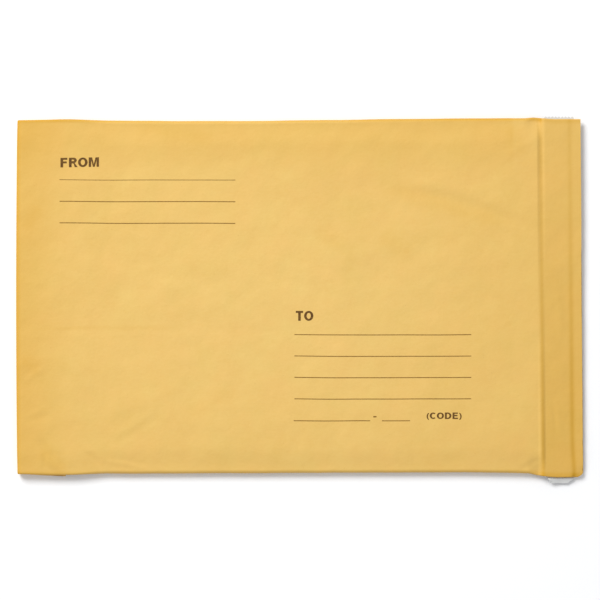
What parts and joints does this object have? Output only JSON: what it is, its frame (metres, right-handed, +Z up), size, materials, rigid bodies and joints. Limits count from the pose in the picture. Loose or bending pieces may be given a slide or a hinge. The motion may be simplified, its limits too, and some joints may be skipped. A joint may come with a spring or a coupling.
{
  "type": "padded envelope",
  "caption": "Flat kraft mailing envelope with a padded pocket, a folded-under closed end, a lip at the mouth and a peel-off strip beneath the lip.",
  "frame": {"origin": "middle of the box's lowest face, on the surface that the envelope lies on", "axes": "+X along the envelope towards its mouth and lip, +Y across it towards the top of the printed form, +Z up out of the address side"},
  "size_m": [0.4216, 0.2718, 0.0077],
  "materials": {
    "golden_kraft": "machine-finished kraft paper, faint sheen, printed with a dark brown address form",
    "macerated_paper": "soft grey fluff",
    "plain_kraft": "matt thin kraft paper",
    "clear_adhesive": "tacky film",
    "white_release_paper": "smooth silicone-coated paper"
  },
  "bodies": {
    "root": {"outer_sheet": "golden_kraft", "padding_mat": "macerated_paper", "inner_liner": "plain_kraft", "adhesive_band": "clear_adhesive", "release_liner": "white_release_paper"}
  },
  "joints": []
}
